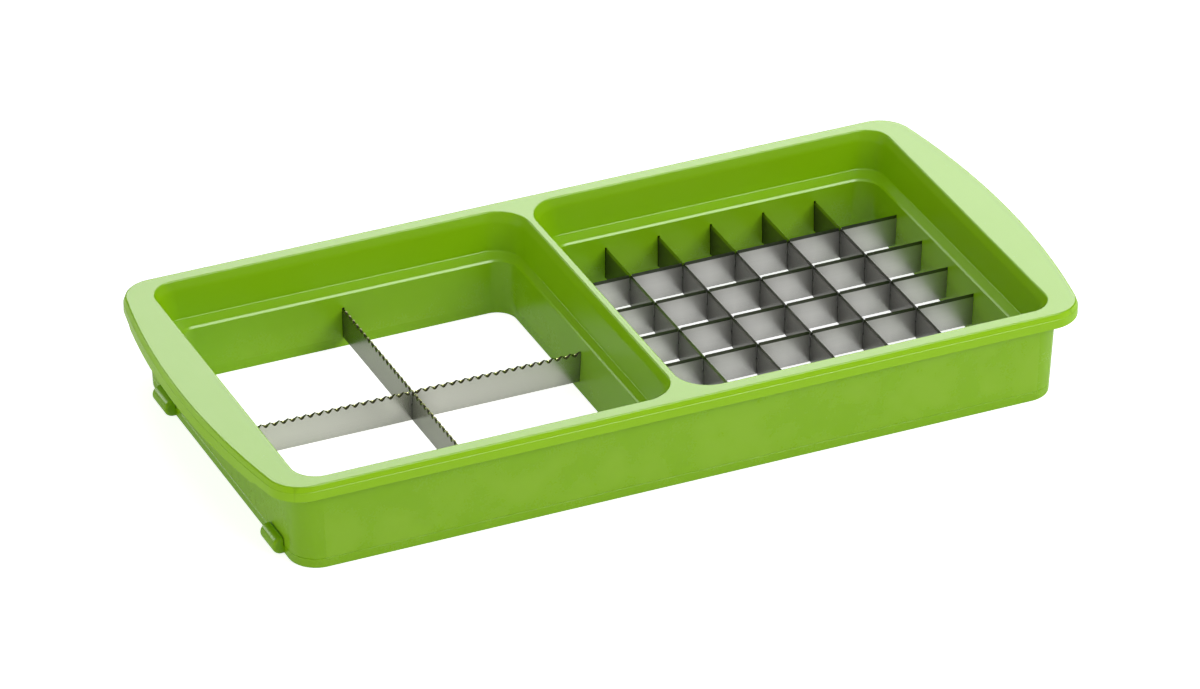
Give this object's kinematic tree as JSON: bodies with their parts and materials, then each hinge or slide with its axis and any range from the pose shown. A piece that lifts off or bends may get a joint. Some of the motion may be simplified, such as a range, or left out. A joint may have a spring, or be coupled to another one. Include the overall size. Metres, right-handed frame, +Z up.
{
  "type": "vegetable dicer cutting insert",
  "caption": "Cutting insert for a hand-press vegetable dicer: a moulded frame with a serrated quartering cross in one window and a square dicing grid in the other.",
  "frame": {"origin": "centre of the underside, on the plane the frame stands on", "axes": "+X along the length towards the dicing grid, +Y across, +Z up, the way the blade edges point"},
  "size_m": [0.2764, 0.134, 0.0314],
  "materials": {
    "frame_plastic": "glossy injection-moulded green",
    "serrated_steel": "rolled stainless strip with ground serrations",
    "blade_steel": "rolled stainless strip with a ground edge"
  },
  "bodies": {
    "root": {"upper_frame": "frame_plastic", "base_frame": "frame_plastic", "quarter_blade_lengthwise": "serrated_steel", "quarter_blade_crosswise": "serrated_steel", "dice_blade_long_1": "blade_steel", "dice_blade_long_2": "blade_steel", "dice_blade_long_3": "blade_steel", "dice_blade_long_4": "blade_steel", "dice_blade_long_5": "blade_steel", "dice_blade_short_1": "blade_steel", "dice_blade_short_2": "blade_steel", "dice_blade_short_3": "blade_steel", "dice_blade_short_4": "blade_steel", "dice_blade_short_5": "blade_steel"}
  },
  "joints": []
}
